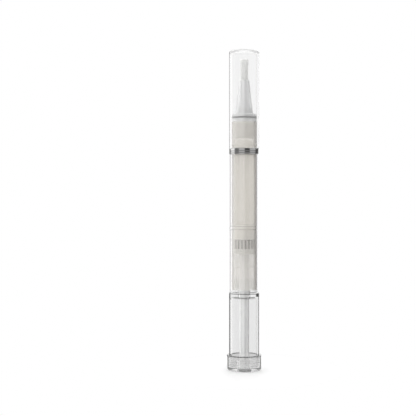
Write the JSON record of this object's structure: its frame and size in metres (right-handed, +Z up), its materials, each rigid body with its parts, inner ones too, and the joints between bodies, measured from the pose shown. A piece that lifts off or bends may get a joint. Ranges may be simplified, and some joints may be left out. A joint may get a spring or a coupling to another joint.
{
  "type": "nail oil pen",
  "caption": "Clear twist pen for nail oil: pull-off cap over a brush, milky reservoir with a screw-driven piston, and a wide tail knob that turns to feed the oil.",
  "frame": {"origin": "centre of the knob's underside, where the pen stands", "axes": "+Z up the pen's axis, from the knob to the cap's top; the pen is round, so X and Y are free"},
  "size_m": [0.0152, 0.0152, 0.14],
  "materials": {
    "clear_plastic": "clear, polished",
    "milky_plastic": "milky, satin",
    "bright_trim": "plated, polished",
    "frosted_plastic": "translucent, satin",
    "soft_seal": "soft, matt",
    "bristle": "fine nylon filament",
    "white_plastic": "moulded, satin",
    "steel": "drawn",
    "grey_plastic": "moulded, satin",
    "driver_plastic": "translucent, satin",
    "piston_plastic": "soft, satin",
    "oil": "clear oil"
  },
  "bodies": {
    "barrel": {"reservoir_tube": "milky_plastic", "barrel_sleeve": "clear_plastic", "trim_ring": "bright_trim", "rear_sleeve": "clear_plastic", "drive_nut": "grey_plastic", "ratchet_ring": "white_plastic", "brush_ferrule": "frosted_plastic", "ferrule_seal": "soft_seal", "tuft_plug": "white_plastic", "feed_pipe": "steel", "brush_tuft": "bristle", "oil_fill": "oil"},
    "knob": {"end_knob": "clear_plastic", "driver_tube": "driver_plastic", "click_ring": "white_plastic"},
    "rod": {"screw_rod": "white_plastic"},
    "plunger": {"piston": "piston_plastic"},
    "cap": {"cap_shell": "clear_plastic"}
  },
  "joints": [
    {"name": "cap_pull", "type": "slide", "parent": "barrel", "child": "cap", "axis": [0, 0, 1], "range_m": [0, 0.045]},
    {"name": "knob_twist", "type": "hinge", "parent": "barrel", "child": "knob", "pos_m": [0, 0, 0], "axis": [0, 0, 1], "range_deg": [0, 6480.1]},
    {"name": "rod_advance", "type": "slide", "parent": "knob", "child": "rod", "axis": [0, 0, 1], "range_m": [0, 0.0361]},
    {"name": "piston_advance", "type": "slide", "parent": "barrel", "child": "plunger", "axis": [0, 0, 1], "range_m": [0, 0.036], "deforming": ["oil_fill"]}
  ],
  "couplings": [
    {"joint": "knob_twist", "follows": "piston_advance", "rad_per_m": 3141.6},
    {"joint": "rod_advance", "follows": "piston_advance", "ratio": 1}
  ]
}
